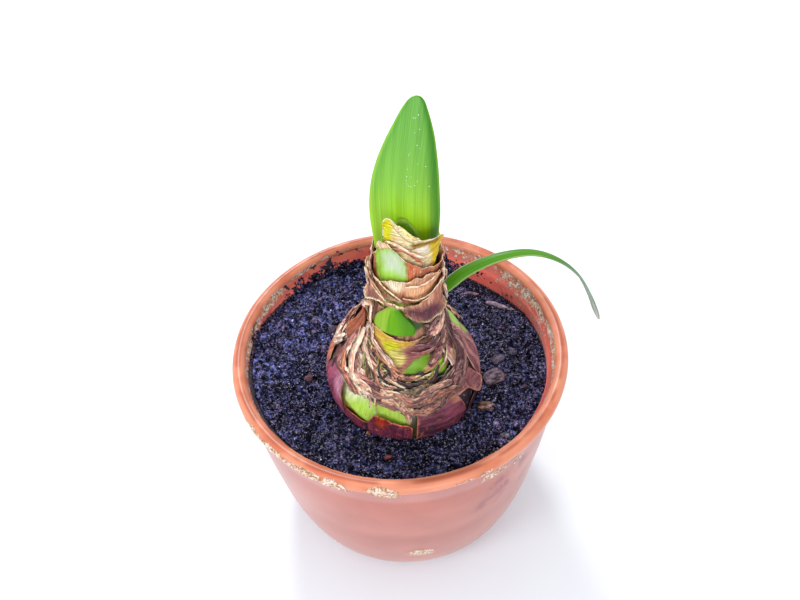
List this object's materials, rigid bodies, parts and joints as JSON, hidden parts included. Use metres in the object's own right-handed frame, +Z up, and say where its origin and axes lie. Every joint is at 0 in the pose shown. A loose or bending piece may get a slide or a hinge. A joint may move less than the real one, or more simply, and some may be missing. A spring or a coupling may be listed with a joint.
{
  "type": "potted amaryllis",
  "caption": "Amaryllis bulb half out of the soil of a glazed clay pot, with one broad upright leaf, a narrow arching leaf and a neck wrapped in torn papery leaf bases.",
  "frame": {"origin": "Middle of the flat underside of the pot, on the surface it stands on.", "axes": "+Z is up along the pot's axis, +X is to the right of the picture, the side the narrow leaf arches to, and -Y is the front, the side that faces the camera."},
  "size_m": [0.1743, 0.16, 0.245],
  "materials": {
    "glazed_clay": "salmon-pink glazed clay, stands in for glazed terracotta; orange bare rim with pale lime crust",
    "soil": "dark crumbly potting soil, stands in for soil",
    "bulb_flesh": "yellow-green living flesh of the bulb, slightly waxy",
    "tan_paper": "dry papery leaf base, tan with pale torn edges",
    "straw_paper": "dry papery leaf base, straw yellow",
    "red_brown_paper": "dry papery leaf base, red-brown",
    "purple_brown_skin": "thin purple-brown bulb skin with fine lengthwise veins, satin",
    "mauve_skin": "thin mauve bulb skin with pale flecks, satin",
    "leaf_green": "fresh green leaf, smooth, satin, lets light through",
    "bark": "rough weathered bark",
    "wood_bits": "rough orange-brown wood chip"
  },
  "bodies": {
    "root": {"pot": "glazed_clay", "soil": "soil", "bulb": "bulb_flesh", "collar_inner": "tan_paper", "collar_top": "straw_paper", "collar_red": "red_brown_paper", "collar_mid": "tan_paper", "collar_band": "purple_brown_skin", "collar_shoulder": "straw_paper", "tunic_crumpled": "tan_paper", "tunic_torn": "tan_paper", "strip_right": "tan_paper", "skin_front": "purple_brown_skin", "flap_front": "red_brown_paper", "skin_left": "purple_brown_skin", "skin_back_left": "mauve_skin", "skin_back_right": "purple_brown_skin", "skin_right": "mauve_skin", "skin_low": "purple_brown_skin", "tab_right": "red_brown_paper", "curl_left": "red_brown_paper", "leaf_main": "leaf_green", "leaf_inner": "leaf_green", "leaf_stub": "leaf_green", "leaf_side": "leaf_green", "bark_chip": "bark", "wood_chip": "wood_bits", "twig_long": "bark", "twig_short": "bark"}
  },
  "joints": []
}
